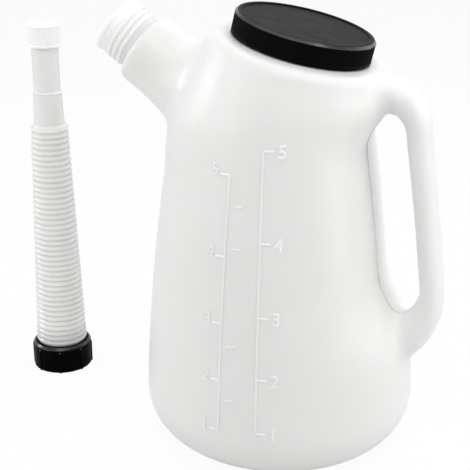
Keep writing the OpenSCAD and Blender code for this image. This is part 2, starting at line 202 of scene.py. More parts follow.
# Long lines, dashes and quart numerals: a fainter painted highlight, only a shade lighter than the skin.
painted_highlight_lines, shader = moulded_finish(
    "line_polyethylene_painted_highlight", ("F2F2F1", "EDEDEC"), 40, (0.36, 0.46), 1.6, 0.02)
let_light_in(shader, 0.25, 2.5)

# Cap: an opaque clean white with a low gloss. Its fine grain is drawn coarser than the real one.
white_plastic, shader = moulded_finish(
    "white_polypropylene", ("FBFBFB", "F7F7F7"), 12, (0.3, 0.4), 0.8, 0.01)
shader.inputs["IOR"].default_value = CAP_IOR
for finish in (blown_plastic, glow_painted_plastic, painted_highlight_marks, painted_highlight_lines, white_plastic):
    print("milky finish:", finish.name)

# %% [markdown]
# ## The black plastics and the liner
# Lid and collar are black moulded polypropylene with a satin skin. Black shows only what it reflects,
# so the gloss matters more than the colour: the faces stay deep black, and only the edges, which hands
# and the mould have polished, flash. The liner is a soft pale foam with open pores.

# %% Black and foam finishes
# Lid: a dull satin black whose top takes a dim, even sheen. The grain is coarser than the real one.
black_lid, shader = moulded_finish(
    "black_polypropylene", ("060607", "0A0A0B"), 40, (0.4, 0.46), 0.9, 0.003)
shader.inputs["Specular IOR Level"].default_value = 0.022

# Collar: a deeper black that shows almost nothing of the floor.
black_collar, shader = moulded_finish(
    "black_collar_polypropylene", ("030304", "060607"), 14, (0.3, 0.4), 0.9, 0.003)
shader.inputs["Specular IOR Level"].default_value = 0.02

# Edges: the same black, worn smooth, so they catch a bright line of the lamps.
polished_black, shader = moulded_finish(
    "polished_black_polypropylene", ("0A0A0B", "101011"), 14, (0.2, 0.3), 0.9, 0.003)
shader.inputs["Specular IOR Level"].default_value = 0.42

# Liner: a dull cream with open pores, drawn near their real size of a millimetre.
foam, shader = moulded_finish(
    "liner_foam", ("D8D4C8", "CBC6B8"), 6, (0.85, 0.95), 0.9, 0.15)
print("black finishes:", black_lid.name, black_collar.name, polished_black.name, "and", foam.name)

# %% [markdown]
# ## The blown skin's form
# The body is a slightly bellied cone with a big base radius. Its handle side is drawn in to make room
# for fingers, and its top leans towards the handle. All of it follows a few sizes, so rings at any
# height can be worked out, laid down as circles and bridged into a closed skin.

# %% Sizes of the body, in millimetres
BODY_D = 190
BASE_ROUND = 36
SHOULDER_D = 146
BELLY = 3.5
WALL = 1.8
PLATFORM_X = 11
PLATFORM_Z = 278
PLATFORM_D = 123
PLATFORM_ROUND = 8
SHOULDER_Z = PLATFORM_Z - 42
NECK_TILT = math.radians(13.2)
TUNNEL_GAP = 28.5
TUNNEL_CUT = 19.5
TUNNEL_LOW = 100
TUNNEL_TOP = PLATFORM_Z - 36.5
FADE_LOW = 50
FADE_HIGH = 36
FADE_OVER = 8
CORNER_POWER = 5
print("body:", BODY_D, "mm across, shoulder at", SHOULDER_Z, "mm")

# %% Side of the body


def between(a, b, t):
    """Value between a and b."""
    return a + (b - a) * t


def ease(t):
    """Smooth step from 0 to 1."""
    u = min(max(t, 0), 1)
    return u * u * (3 - 2 * u)


def side_r(z):
    """Radius of the body's side at a height."""
    t = (z - BASE_ROUND) / (SHOULDER_Z - BASE_ROUND)
    return between(BODY_D, SHOULDER_D, t) / 2 + 4 * BELLY * t * (1 - t)


def flattened(z):
    """How far the side is flattened for the fingers at a height, from 0 to 1."""
    return ease((z - TUNNEL_LOW) / FADE_LOW + 0.5) * ease((TUNNEL_TOP + FADE_OVER - z) / FADE_HIGH)


def drawn_in(x, r):
    """Distance x drawn in to the finger gap's wall by a soft corner, on a round of radius r."""
    if x <= 0:
        return x
    soft = r / ((r / (r - TUNNEL_CUT)) ** CORNER_POWER - 1) ** (1 / CORNER_POWER)
    return x / (1 + (x / soft) ** CORNER_POWER) ** (1 / CORNER_POWER)


middle_r = side_r(150)
print("side at 150 mm:", round(middle_r, 1), "mm, drawn in to", round(drawn_in(middle_r, middle_r), 1))

# %% Rings of the body
ROOT_SWELL = 2.6
ROOT_Z = 220
ROOT_REACH = 28
SHOULDER_CURVE = 1.25
SIDE_RINGS = 40
SHOULDER_RINGS = 12


def body_ring(x, z, tilt, r, flat):
    """Rule for one ring: the point at an angle round the body, swollen a little below the spout."""
    swell = ROOT_SWELL * ease(1 - abs(z - ROOT_Z) / ROOT_REACH)

    def place(angle):
        out = r * math.cos(angle)
        out = between(out, drawn_in(out, r), flat) - swell * max(-math.cos(angle), 0) ** 2
        return Vector((x + out * math.cos(tilt), r * math.sin(angle), z - out * math.sin(tilt)))
    return place


def shoulder_ring(t):
    """Ring of the leaning shoulder, from the body at 0 to the platform's edge at 1."""
    x = t * (PLATFORM_X - PLATFORM_ROUND * math.sin(NECK_TILT))
    z = between(SHOULDER_Z, PLATFORM_Z - PLATFORM_ROUND * math.cos(NECK_TILT), t)
    r = between(SHOULDER_D, PLATFORM_D, t ** SHOULDER_CURVE) / 2
    return body_ring(x, z, NECK_TILT * t, r, flattened(z - r * math.sin(NECK_TILT * t)))


def edge_ring(angle):
    """Ring of the platform's rounded edge."""
    drop = PLATFORM_ROUND * (1 - math.sin(angle))
    r = PLATFORM_D / 2 - PLATFORM_ROUND * (1 - math.cos(angle))
    return body_ring(PLATFORM_X - drop * math.sin(NECK_TILT), PLATFORM_Z - drop * math.cos(NECK_TILT),
                     NECK_TILT, r, 0)


def base_ring(angle):
    """Ring of the rounded base."""
    z = BASE_ROUND * (1 - math.cos(angle))
    return body_ring(0, z, 0, BODY_D / 2 - BASE_ROUND * (1 - math.sin(angle)), flattened(z))


heights = [between(BASE_ROUND, SHOULDER_Z, i / SIDE_RINGS) for i in range(1, SIDE_RINGS + 1)]
body_rings = [base_ring(math.radians(a)) for a in range(0, 91, 9)]
body_rings += [body_ring(0, z, 0, side_r(z), flattened(z)) for z in heights]
body_rings += [shoulder_ring(i / SHOULDER_RINGS) for i in range(1, SHOULDER_RINGS + 1)]
body_rings += [edge_ring(math.radians(a)) for a in range(15, 91, 15)]
print("rings of the body:", len(body_rings))

# %% [markdown]
# ## Spout and handle
# On the real jug the spout and the hollow handle are squeezed out of the same tube of hot plastic.
# Here each is its own closed skin of rings that reaches into the body. The handle follows a smooth
# curve through a few stations that give its place, thickness and width.

# %% Rings of the spout
SPOUT_RISE = math.radians(35)
SPOUT_X = -(SHOULDER_D / 2 + 28)
SPOUT_Z = PLATFORM_Z - 5.5
SPOUT_D = 51
SPOUT_ROUND = 3
FLARE = 7
FLARE_UP = 0.45
FLARE_START = 14
FLARE_L = 34
SPOUT_L = 56
SPOUT_RINGS = 14


def spout_r(s, angle):
    """Radius of the spout at a distance behind its shoulder, with a flare that is wider on top."""
    if s < SPOUT_ROUND:
        return SPOUT_D / 2 - SPOUT_ROUND + math.sqrt(SPOUT_ROUND ** 2 - (SPOUT_ROUND - s) ** 2)
    flare = FLARE * (1 + FLARE_UP * math.cos(angle))
    return SPOUT_D / 2 + flare * (max(s - FLARE_START, 0) / FLARE_L) ** 2


def spout_ring(s):
    """Rule for one ring of the spout at a distance behind its shoulder."""
    def place(angle):
        r = spout_r(s, angle)
        up = r * math.cos(angle)
        return Vector((SPOUT_X + s * math.cos(SPOUT_RISE) + up * math.sin(SPOUT_RISE),
                       r * math.sin(angle),
                       SPOUT_Z - s * math.sin(SPOUT_RISE) + up * math.cos(SPOUT_RISE)))
    return place


spout_rings = [spout_ring(s) for s in (0, 0.3, 0.9, 1.8, SPOUT_ROUND)]
spout_rings += [spout_ring(between(SPOUT_ROUND, SPOUT_L, i / SPOUT_RINGS))
                for i in range(1, SPOUT_RINGS + 1)]
print("rings of the spout:", len(spout_rings))

# %% Rings of the handle
GRIP_T = 15.6
GRIP_W = 30
GRIP_SOFT = 0.85
HIGH = TUNNEL_TOP - 24
LOW = TUNNEL_LOW + 16


def grip_x(z):
    """Middle of the grip at a height."""
    return side_r(z) - TUNNEL_CUT + TUNNEL_GAP + GRIP_T / 2


def station(x, z, more_t, more_w):
    """A station of the handle: place, half thickness and half width."""
    return Vector((x, z, GRIP_T / 2 + more_t, GRIP_W / 2 + more_w))


stations = [
    station(grip_x(HIGH) - 47, TUNNEL_TOP + 13, 2, 8),
    station(grip_x(HIGH) - 27, TUNNEL_TOP + 12, 3, 4),
    station(grip_x(HIGH) - 12, TUNNEL_TOP + 7, 2.6, 2),
    station(grip_x(HIGH) - 3, TUNNEL_TOP - 5, 0.8, 0.5),
    station(grip_x(HIGH), HIGH, 0, 0),
    station(grip_x((HIGH + LOW) / 2), (HIGH + LOW) / 2, 0, 0),
    station(grip_x(LOW + 30), LOW + 30, 0, 0),
    station(grip_x(LOW), LOW - 1, 0.3, 0.5),
    station(grip_x(LOW) - 5.5, LOW - 19, 3.2, 2),
    station(grip_x(LOW) - 17.5, LOW - 32, 6.5, 5),
    station(grip_x(LOW) - 36, LOW - 45, 5, 9),
]


def smooth_path(points, steps):
    """Smooth curve through the points, with so many steps between neighbours."""
    p = [2 * points[0] - points[1], *points, 2 * points[-1] - points[-2]]
    path = []
    for a, b, c, d in zip(p, p[1:], p[2:], p[3:]):
        for t in (k / steps for k in range(steps)):
            path.append(b + 0.5 * (t * (c - a) + t * t * (2 * a - 5 * b + 4 * c - d)
                                   + t ** 3 * (3 * b - a - 3 * c + d)))
    return path + [points[-1]]


def softened(value):
    """Sine or cosine bent towards a rounded box, with its sign kept."""
    return math.copysign(abs(value) ** GRIP_SOFT, value)


def grip_ring(here, behind, ahead):
    """Rule for one ring across the handle's path."""
    along = (ahead - behind).xy.normalized()

    def place(angle):
        t = here[2] * softened(math.cos(angle))
        w = here[3] * softened(math.sin(angle))
        return Vector((here[0] - t * along.y, -w, here[1] + t * along.x))
    return place


path = smooth_path(stations, 6)
grip_rings = [grip_ring(path[i], path[max(i - 1, 0)], path[min(i + 1, len(path) - 1)])
              for i in range(len(path))]
print("rings of the handle:", len(grip_rings))

# %% [markdown]
# ## Closed skins
# A skin through rings could be a curve with changing thickness, but then every ring would be the same
# shape. Here each ring starts as a circle whose points move to their places, neighbours are bridged,
# and both ends are filled, so the skin is closed and its volume can be measured.

# %% Bridge the rings
BODY_SIDES = 120
SPOUT_SIDES = 72
GRIP_SIDES = 40


def lofted(rings, sides):
    """Closed skin through rings of so many sides."""
    bm = bmesh.new()
    loops = []
    for place in rings:
        circle = bmesh.ops.create_circle(bm, segments=sides, radius=1)["verts"]
        loops.append(list({edge for v in circle for edge in v.link_edges}))
        for v in circle:
            v.co = place(math.atan2(v.co.y, v.co.x)) * MM
    for low, high in zip(loops, loops[1:]):
        bmesh.ops.bridge_loops(bm, edges=low + high)
    bmesh.ops.edgeloop_fill(bm, edges=loops[0])
    bmesh.ops.edgeloop_fill(bm, edges=loops[-1])
    bmesh.ops.recalc_face_normals(bm, faces=bm.faces)
    return bm


body = lofted(body_rings, BODY_SIDES)
spout = lofted(spout_rings, SPOUT_SIDES)
handle = lofted(grip_rings, GRIP_SIDES)
for name, skin in (("body", body), ("spout", spout), ("handle", handle)):
    print(name, "holds", round(skin.calc_volume() * 1e6), "cm3")

# %% [markdown]
# ## One soft skin
# Blown plastic has no sharp inner corners. A voxel remesh fuses the three skins into one even mesh,
# and smoothing only the vertices near a junction rounds the corners there into the wide, soft
# hollows that the real jug has. The rest keeps its exact form.

# %% Fuse the skins
VOXEL = 2.45


def mesh_from(bm, name):
    """A new mesh with the bmesh's faces."""
    mesh = bpy.data.meshes.new(name)
    bm.to_mesh(mesh)
    return mesh


def link(mesh, name):
    """A new object in the scene for a mesh."""
    obj = bpy.data.objects.new(name, mesh)
    bpy.context.scene.collection.objects.link(obj)
    return obj


joined = bmesh.new()
for skin in (body, spout, handle):
    joined.from_mesh(mesh_from(skin, "skin"))
rough_skin = link(mesh_from(joined, "rough_skin"), "rough_skin")
remesh = rough_skin.modifiers.new("fuse", "REMESH")
remesh.mode = "VOXEL"
remesh.voxel_size = VOXEL * MM
fused = rough_skin.evaluated_get(bpy.context.evaluated_depsgraph_get())
skin = bmesh.new()
skin.from_mesh(fused.to_mesh())
bpy.data.objects.remove(rough_skin)
print("vertices of the fused skin:", len(skin.verts))

# %% Soften the junctions


def near_both(bm, first, second, reach):
    """Vertices that lie within a reach of two skins' surfaces, where these meet."""
    trees = [BVHTree.FromBMesh(first), BVHTree.FromBMesh(second)]
    return [v for v in bm.verts if all(t.find_nearest(v.co, reach * MM)[0] for t in trees)]


def smooth(bm, verts, times):
    """Moves vertices towards the middle of their neighbours, so many times."""
    for _ in range(times):
        bmesh.ops.smooth_vert(bm, verts=verts, factor=0.5,
                              use_axis_x=True, use_axis_y=True, use_axis_z=True)


smooth(skin, skin.verts, 3)
for other, reach, times in ((spout, 10, 14), (spout, 6, 8), (handle, 9, 12), (handle, 5, 8)):
    corner = near_both(skin, body, other, reach)
    smooth(skin, corner, times)
    print("softened", len(corner), "vertices within", reach, "mm of a junction")

VALLEY_Z = 250
VALLEY_REACH = 16
VALLEY_TIMES = 40
valley = [v for v in near_both(skin, body, spout, VALLEY_REACH) if v.co.z > VALLEY_Z * MM]
smooth(skin, valley, VALLEY_TIMES)
print("softened", len(valley), "vertices of the valley between spout and lid")

# %% [markdown]
# ## Openings
# A blown jug comes out of its mould closed, and a knife trims the neck and the mouth open. A boolean
# cut would leave thin slivers in the even mesh. Instead the faces inside a circle are deleted, and
# the edge of the hole moves onto that circle, so the threaded rings can sit on it.

# %% Open the neck and the mouth
NECK_D = 85
NECK_WALL = 2.6
MOUTH_D = 39
MOUTH_BORE = 34.4
neck_place = (Matrix.Translation(Vector((PLATFORM_X, 0, PLATFORM_Z)) * MM)
              @ Matrix.Rotation(NECK_TILT, 4, "Y"))
spout_place = (Matrix.Translation(Vector((SPOUT_X, 0, SPOUT_Z)) * MM)
               @ Matrix.Rotation(SPOUT_RISE - math.pi / 2, 4, "Y"))


def open_hole(bm, place, r):
    """Deletes the skin inside a circle on a flat and draws the hole's edge to that circle."""
    into = place.inverted()
    local = {v: into @ v.co for v in bm.verts}
    inside = {v for v, p in local.items() if abs(p.z) < VOXEL * MM and p.xy.length < r * MM}
    bmesh.ops.delete(bm, geom=[f for f in bm.faces if inside.issuperset(f.verts)], context="FACES")
    rim = [v for v in bm.verts if v.is_boundary and v in inside]
    for v in rim:
        flat = local[v].xy.normalized() * r * MM
        v.co = place @ Vector((flat.x, flat.y, 0))
    return len(rim)


print("rim of the neck:", open_hole(skin, neck_place, NECK_D / 2 - NECK_WALL / 2))
print("rim of the mouth:", open_hole(skin, spout_place, (MOUTH_D + MOUTH_BORE) / 4))

# %% [markdown]
# ## The weld seam
# Round the finger gap the mould pinches the hot tube shut, and a fine weld line stays on the inside
# of the loop. A bump map could fake it, but a real bead shows from every side and in the exported
# mesh too. Rays from the middle of the gap find the skin, and a thin round bead follows them.

# %% Weld seam round the finger gap
SEAM_R = 0.55
SEAM_STEP = 5
SEAM_TURN = 6
skin_tree = BVHTree.FromBMesh(skin)
gap_x = side_r(HIGH) - TUNNEL_CUT + TUNNEL_GAP / 2
gap_lean = (side_r(LOW) - side_r(HIGH)) / (LOW - HIGH)
seam_points = []
for side, heights in ((1, range(round(LOW), round(HIGH), SEAM_STEP)),
                      (-1, range(round(HIGH), round(LOW), -SEAM_STEP))):
    for z in heights:
        start = Vector((gap_x + gap_lean * (z - HIGH), 0, z))
        seam_points.append(skin_tree.ray_cast(start * MM, (side, 0, 0))[0])
    arch = Vector((gap_x + gap_lean * (heights[-1] - HIGH), 0, heights[-1]))
    for turn in range(SEAM_TURN, 180, SEAM_TURN):
        a = math.radians(turn)
        towards = (side * math.cos(a), 0, side * math.sin(a))
        seam_points.append(skin_tree.ray_cast(arch * MM, towards)[0])
print("points of the weld seam:", len(seam_points))

# %% [markdown]
# ## The wall
# So far the skin has no thickness. The real wall is about two millimetres, and it shows at the rims.
# The Solidify modifier adds it on the inside, which leaves the outside as it was modelled. From here
# on one function finishes each piece: it gets its finish and rides on its body.

# %% Give the skin its wall


def finish_piece(bm, name, body_name, material, place=None):
    """Makes a bmesh a smooth-shaded piece that rides on a body."""
    if place:
        bm.transform(place)
    mesh = mesh_from(bm, name)
    bm.free()
    mesh.materials.append(material)
    mesh.shade_smooth()
    piece = link(mesh, name)
    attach(piece, body_name)
    print(name, "has", len(mesh.polygons), "faces")
    return piece


jug_skin = finish_piece(skin, "jug_skin", "jug", blown_plastic)
wall = jug_skin.modifiers.new("wall", "SOLIDIFY")
wall.thickness = WALL * MM
wall.offset = -1
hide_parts("jug_body")

# %% Lay the bead along the seam
seam_curve = bpy.data.curves.new("seam", "CURVE")
seam_curve.dimensions = "3D"
seam_curve.bevel_depth = SEAM_R * MM
seam_curve.bevel_resolution = 2
line = seam_curve.splines.new("POLY")
line.points.add(len(seam_points) - 1)
line.use_cyclic_u = True
for point, place in zip(line.points, seam_points):
    point.co = (*place, 1)
seam_path = link(seam_curve, "seam")
seam = bmesh.new()
seam.from_mesh(seam_path.to_mesh())
bpy.data.objects.remove(seam_path)
finish_piece(seam, "jug_weld", "jug", blown_plastic)

# %% [markdown]
# ## Neck and spout mouth
# Both carry a coarse thread that the lid and the collar nut screw onto. A turned part is a drawn
# outline that is spun round an axis, with each corner rounded first. A thread is a small section that
# climbs while it is spun, and its ends run out so that the nut can find its start.

# %% Turned pieces and threads
THREAD_DEPTH = 1.1
THREAD_FILL = 0.34
THREAD_STEPS = 72
THREAD_SINK = 0.3
THREAD_SOFT = 0.4
RUN_OUT = 16


def turned(outline, steps):
    """Piece turned on the Z axis from corners of (radius, height, rounding) in millimetres."""
    bm = bmesh.new()
    corners = [bm.verts.new((r * MM, 0, z * MM)) for r, z, soft in outline]
    for a, b in zip(corners, corners[1:] + corners[:1]):
        if a.co.x or b.co.x:
            bm.edges.new((a, b))
    for corner, (r, z, soft) in zip(corners, outline):
        if soft:
            bmesh.ops.bevel(bm, geom=[corner], offset=soft * MM, segments=3, profile=0.5,
                            affect="VERTICES", material=-1)
    bmesh.ops.spin(bm, geom=bm.verts[:] + bm.edges[:], cent=(0, 0, 0), axis=(0, 0, 1),
                   angle=2 * math.pi, steps=steps, use_merge=True)
    bmesh.ops.remove_doubles(bm, verts=bm.verts, dist=0.001 * MM)
    bmesh.ops.recalc_face_normals(bm, faces=bm.faces)
    return bm


def add_thread(bm, d, z, pitch, turns, inward=False, fill=THREAD_FILL, depth=THREAD_DEPTH):
    """Adds a thread ridge on a round of diameter d that starts at height z."""
    side = -1 if inward else 1
    half = pitch * fill / 2
    root, crest = d / 2 - side * THREAD_SINK, d / 2 + side * depth
    waist = crest - side * THREAD_SOFT
    section = [(root, -half), (waist, -half * 0.55), (crest, -half * 0.25),
               (crest, half * 0.25), (waist, half * 0.55), (root, half)]
    face = bm.faces.new([bm.verts.new((r * MM, 0, (z + h) * MM)) for r, h in section])
    before = set(bm.verts) - set(face.verts)
    steps = round(turns * THREAD_STEPS)
    bmesh.ops.spin(bm, geom=[face, *face.edges, *face.verts], cent=(0, 0, 0), axis=(0, 0, 1),
                   dvec=(0, 0, pitch / THREAD_STEPS * MM), angle=turns * 2 * math.pi, steps=steps)
    ridge = [v for v in bm.verts if v not in before]
    for v in ridge:
        height = v.co.z / MM - z
        ends = min(height + half, turns * pitch + half - height) / pitch * THREAD_STEPS
        r = v.co.xy.length / MM
        kept = root + (r - root) * ease(ends / RUN_OUT)
        v.co.xy *= kept / r
    bmesh.ops.recalc_face_normals(bm, faces=bm.faces)


print("a thread stands", THREAD_DEPTH, "mm proud and fills", THREAD_FILL, "of its pitch")

# %% Neck and mouth
NECK_H = 11.8
NECK_PITCH = 5
NECK_THREAD_Z = 2.6
NECK_TURNS = 1.4
MOUTH_L = 24
MOUTH_PITCH = 4.2
MOUTH_RIM = 3.6
RIM_STEP = 0.7
MOUTH_TURNS = 3.5
MOUTH_FILL = 0.9
MOUTH_DEPTH = 0.8
neck = turned([
    (NECK_D / 2 - NECK_WALL, -WALL / 2, 0),
    (NECK_D / 2, -WALL / 2, 0),
    (NECK_D / 2, NECK_H, 0.8),
    (NECK_D / 2 - NECK_WALL, NECK_H, 0.6),
], 144)
add_thread(neck, NECK_D, NECK_THREAD_Z, NECK_PITCH, NECK_TURNS)
finish_piece(neck, "jug_neck", "jug", glow_painted_plastic, neck_place)

mouth = turned([
    (MOUTH_BORE / 2, -WALL, 0),
    (MOUTH_D / 2, -WALL, 0),
    (MOUTH_D / 2, MOUTH_L - MOUTH_RIM, 0.5),
    (MOUTH_D / 2 + RIM_STEP, MOUTH_L - MOUTH_RIM + RIM_STEP, 0.5),
    (MOUTH_D / 2 + RIM_STEP, MOUTH_L, 0.9),
    (MOUTH_BORE / 2, MOUTH_L, 0.8),
], 120)
add_thread(mouth, MOUTH_D, MOUTH_PITCH * 0.6, MOUTH_PITCH, MOUTH_TURNS,
           fill=MOUTH_FILL, depth=MOUTH_DEPTH)
finish_piece(mouth, "jug_mouth", "jug", glow_painted_plastic, spout_place)

# %% [markdown]
# ## The raised scale
# Two upright lines with ticks stand half a millimetre proud of the front: litres on the right and
# quarts on the left, each with plain numerals, and four short dashes between them. All are modelled
# flat and then wrapped on the body. The height of each tick is the level to which the body holds that
# volume.

# %% Fill levels
LITRE = 1e6
QUART = 946353
SLICE = 2
# Area of the grip's rounded section for half sizes of 1, between a round and a box
GRIP_FILL = 3.5


def level_area(z):
    """Inside area of the body at a height, with the hollow grip beside it."""
    if z < BASE_ROUND:
        round_in = BASE_ROUND - WALL
        r = BODY_D / 2 - BASE_ROUND + math.sqrt(round_in ** 2 - (BASE_ROUND - z) ** 2)
        return math.pi * r * r
    ring = body_ring(0, z, 0, side_r(z) - WALL, flattened(z))
    points = [ring(math.radians(a)) for a in range(0, 360, 3)]
    area = sum(p.x * q.y - q.x * p.y for p, q in zip(points, points[1:] + points[:1])) / 2
    in_grip = TUNNEL_LOW < z < TUNNEL_TOP
    return area + in_grip * GRIP_FILL * (GRIP_T / 2 - WALL) * (GRIP_W / 2 - WALL)


def oil_level(volume):
    """Height of the oil when the jug holds a volume in cubic millimetres."""
    z = WALL + SLICE / 2
    while volume > level_area(z) * SLICE:
        volume -= level_area(z) * SLICE
        z += SLICE
    return z - SLICE / 2 + volume / level_area(z)


litre_levels = [oil_level(k * LITRE) for k in range(1, 6)]
# The short dashes stand where the photo shows them
DASH_LITRES = (1.55, 2.5, 3.9, 4.4)
dash_levels = [oil_level(k * LITRE) for k in DASH_LITRES]
quart_levels = [oil_level(k * QUART) for k in range(1, 6)]
print("litre marks at", [round(z) for z in litre_levels], "mm")

# %% Lines and ticks
SCALE_ANGLE = math.radians(7.8)
MARK_RISE = 0.5
MARK_SINK = 0.9
MARK_W = 1.4
TICK_L = 6.6
QUART_TICK_L = 6.4
MARK_SOFT = 0.3
MARK_STEP = 3
lines = bmesh.new()
marks = bmesh.new()


def wrap(verts, angle):
    """Wraps vertices drawn flat in millimetres, x across and z up, on the front at an angle."""
    for v in verts:
        across, proud, z = v.co
        a = angle + across / side_r(z)
        r = side_r(z) + proud
        v.co = Vector((r * math.sin(a), -r * math.cos(a), z)) * MM


def add_bar(to, angle, x0, x1, z0, z1):
    """Adds a raised bar with soft edges between two distances across and two heights."""
    bar = bmesh.new()
    size = Vector((x1 - x0, MARK_RISE + MARK_SINK, z1 - z0))
    middle = Vector(((x0 + x1) / 2, (MARK_RISE - MARK_SINK) / 2, (z0 + z1) / 2))
    place = Matrix.Translation(middle) @ Matrix.Diagonal((*size, 1))
    bmesh.ops.create_cube(bar, size=1, matrix=place)
    bmesh.ops.bevel(bar, geom=bar.edges, offset=MARK_SOFT, segments=2, profile=0.5,
                    affect="EDGES", material=-1)
    cuts = int(max(size.x, size.z) / MARK_STEP)
    long = [e for e in bar.edges if e.calc_length() > MARK_STEP]
    if cuts and long:
        bmesh.ops.subdivide_edges(bar, edges=long, cuts=cuts, use_grid_fill=True)
    wrap(bar.verts, angle)
    to.from_mesh(mesh_from(bar, "bar"))
    bar.free()


print("a tick is", MARK_W, "mm wide and stands", MARK_RISE, "mm proud")

# %% Numerals
# Share of a font's size that its digits are high
DIGIT_SHARE = 0.72
DIGIT_SOFT = 0.1
DIGIT_BOLD = 0.08


def add_numeral(to, text, angle, x, z, height):
    """Adds a raised numeral whose middle is at a distance across and a height."""
    curve = bpy.data.curves.new("numeral", "FONT")
    curve.body = text
    curve.align_x = "CENTER"
    curve.align_y = "CENTER"
    curve.size = height / DIGIT_SHARE
    curve.extrude = (MARK_RISE + MARK_SINK) / 2
    curve.bevel_depth = DIGIT_SOFT
    curve.offset = DIGIT_BOLD
    letter = link(curve, "numeral")
    flat = letter.to_mesh()
    glyph = bmesh.new()
    glyph.from_mesh(flat)
    for v in glyph.verts:
        v.co = (v.co.x + x, v.co.z + (MARK_RISE - MARK_SINK) / 2 - DIGIT_SOFT, v.co.y + z)
    bmesh.ops.remove_doubles(glyph, verts=glyph.verts, dist=0.001)
    wrap(glyph.verts, angle)
    to.from_mesh(mesh_from(glyph, "numeral"))
    glyph.free()
    bpy.data.objects.remove(letter)


print("a numeral is a text curve, made a mesh before it is wrapped")

# %% Set out the scale
LITRE_GAP = 5
LITRE_DROP = 0.6
LITRE_H = 8.6
QUART_GAP = 4
QUART_LIFT = 2
QUART_H = 7.8
DASH_FROM = 4.5
DASH_TO = 10.5
half = MARK_W / 2
for angle, levels in ((SCALE_ANGLE, litre_levels), (-SCALE_ANGLE, quart_levels)):
    add_bar(lines, angle, -half, half, levels[0] - half, levels[-1] + half)
for number, z in enumerate(litre_levels, 1):
    add_bar(marks, SCALE_ANGLE, -half, TICK_L, z - half, z + half)
    add_numeral(marks, str(number), SCALE_ANGLE, TICK_L + LITRE_GAP, z - LITRE_DROP, LITRE_H)
quart_x = -QUART_TICK_L - QUART_GAP
for number, z in enumerate(quart_levels, 1):
    add_bar(marks, -SCALE_ANGLE, -QUART_TICK_L, half, z - half, z + half)
    add_numeral(lines, str(number), -SCALE_ANGLE, quart_x, z + QUART_LIFT, QUART_H)
for z in dash_levels:
    add_bar(lines, -SCALE_ANGLE, DASH_FROM, DASH_TO, z - half, z + half)
for piece, name, finish in ((lines, "jug_scale_lines", painted_highlight_lines),
                            (marks, "jug_scale_marks", painted_highlight_marks)):
    bmesh.ops.recalc_face_normals(piece, faces=piece.faces)
    finish_piece(piece, name, "jug", finish)

# %% [markdown]
# ## The screw lid
# The lid is turned like the neck: a smooth lip, a ribbed skirt for the hand, a bright chamfer and a
# top that lies a little lower inside a rim. The spin has six steps for each rib, and a wave that draws
# the vertices in then cuts the grooves between the ribs.

# %% Lid
LID_GAP = 0.8
LID_H = 15.2
LID_D = 93.6
LID_RIBS = 120
LID_TOP = LID_GAP + LID_H
THREAD_CLEAR = 0.6
LID_BORE = NECK_D + 2 * THREAD_DEPTH + THREAD_CLEAR
LID_LIP = 1.8
LID_CHAMFER = 1.8
LID_RIM = 4.4
LID_SUNK = 0.9
LID_PLATE = 2.2
RIB_DEPTH = 0.5
RIB_SET = 0.1


def cut_ribs(bm, count, low, high, r_in, depth):
    """Cuts round grooves between ribs into the outside between two heights."""
    for v in bm.verts:
        r = v.co.xy.length / MM
        if r > r_in and low < v.co.z / MM < high:
            turn = math.atan2(v.co.y, v.co.x) * count
            groove = (0.5 - 0.5 * math.cos(turn)) ** 1.5
            v.co.xy *= 1 - depth * groove / r


def polish(bm, z_low, r_in, slope=(0.3, 0.9)):
    """Gives the second finish to the sloping faces outside a radius and above a height."""
    count = 0
    for face in bm.faces:
        middle = face.calc_center_median() / MM
        if middle.z > z_low and middle.xy.length > r_in and slope[0] < face.normal.z < slope[1]:
            face.material_index = 1
            count += 1
    print("polished faces:", count)


lid_r = LID_D / 2
rib_r = lid_r - RIB_SET
lid = turned([
    (LID_BORE / 2, LID_GAP, 0.2),
    (lid_r, LID_GAP, 0.5),
    (lid_r, LID_GAP + LID_LIP, 0.3),
    (lid_r - 0.25, LID_GAP + LID_LIP + 0.3, 0),
    (rib_r, LID_GAP + LID_LIP + 0.7, 0),
    (rib_r, LID_TOP - LID_CHAMFER - 0.6, 0),
    (rib_r, LID_TOP - LID_CHAMFER - 0.3, 0),
    (lid_r, LID_TOP - LID_CHAMFER - 0.1, 0.2),
    (lid_r - LID_CHAMFER, LID_TOP, 0.5),
    (lid_r - LID_RIM, LID_TOP, 0.5),
    (lid_r - LID_RIM - 0.8, LID_TOP - LID_SUNK, 0.3),
    (lid_r - 14, LID_TOP - LID_SUNK, 0),
    (0, LID_TOP - LID_SUNK, 0),
    (0, LID_TOP - LID_PLATE, 0),
    (LID_BORE / 2, LID_TOP - LID_PLATE, 0.5),
], LID_RIBS * 6)
rib_low, rib_high = LID_GAP + LID_LIP + 0.5, LID_TOP - LID_CHAMFER - 0.4
cut_ribs(lid, LID_RIBS, rib_low, rib_high, lid_r - RIB_DEPTH, RIB_DEPTH)
thread_z = NECK_THREAD_Z + NECK_PITCH * (1 - THREAD_FILL)
add_thread(lid, LID_BORE, thread_z, NECK_PITCH, 1, inward=True)
polish(lid, LID_TOP - LID_CHAMFER - 0.3, lid_r - LID_CHAMFER - 0.6)
lid_shell = finish_piece(lid, "lid_shell", "lid", black_lid, neck_place)
lid_shell.data.materials.append(polished_black)
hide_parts("lid")
for slot in frame["nodes"]["lid_liner"].material_slots:
    slot.material = foam
print("slots of the liner:", len(frame["nodes"]["lid_liner"].material_slots))

# %% [markdown]
# ## The flexible spout
# A soft ribbed tube that ends in a plain nozzle. Its ridges are rounded rings, so the outline repeats
# one small wave, and the whole tube with its wall is one spin. A straight tube with a wave in its
# shading would look the same from the front, but its outline would be smooth. The foot's flange sits
# in the collar.

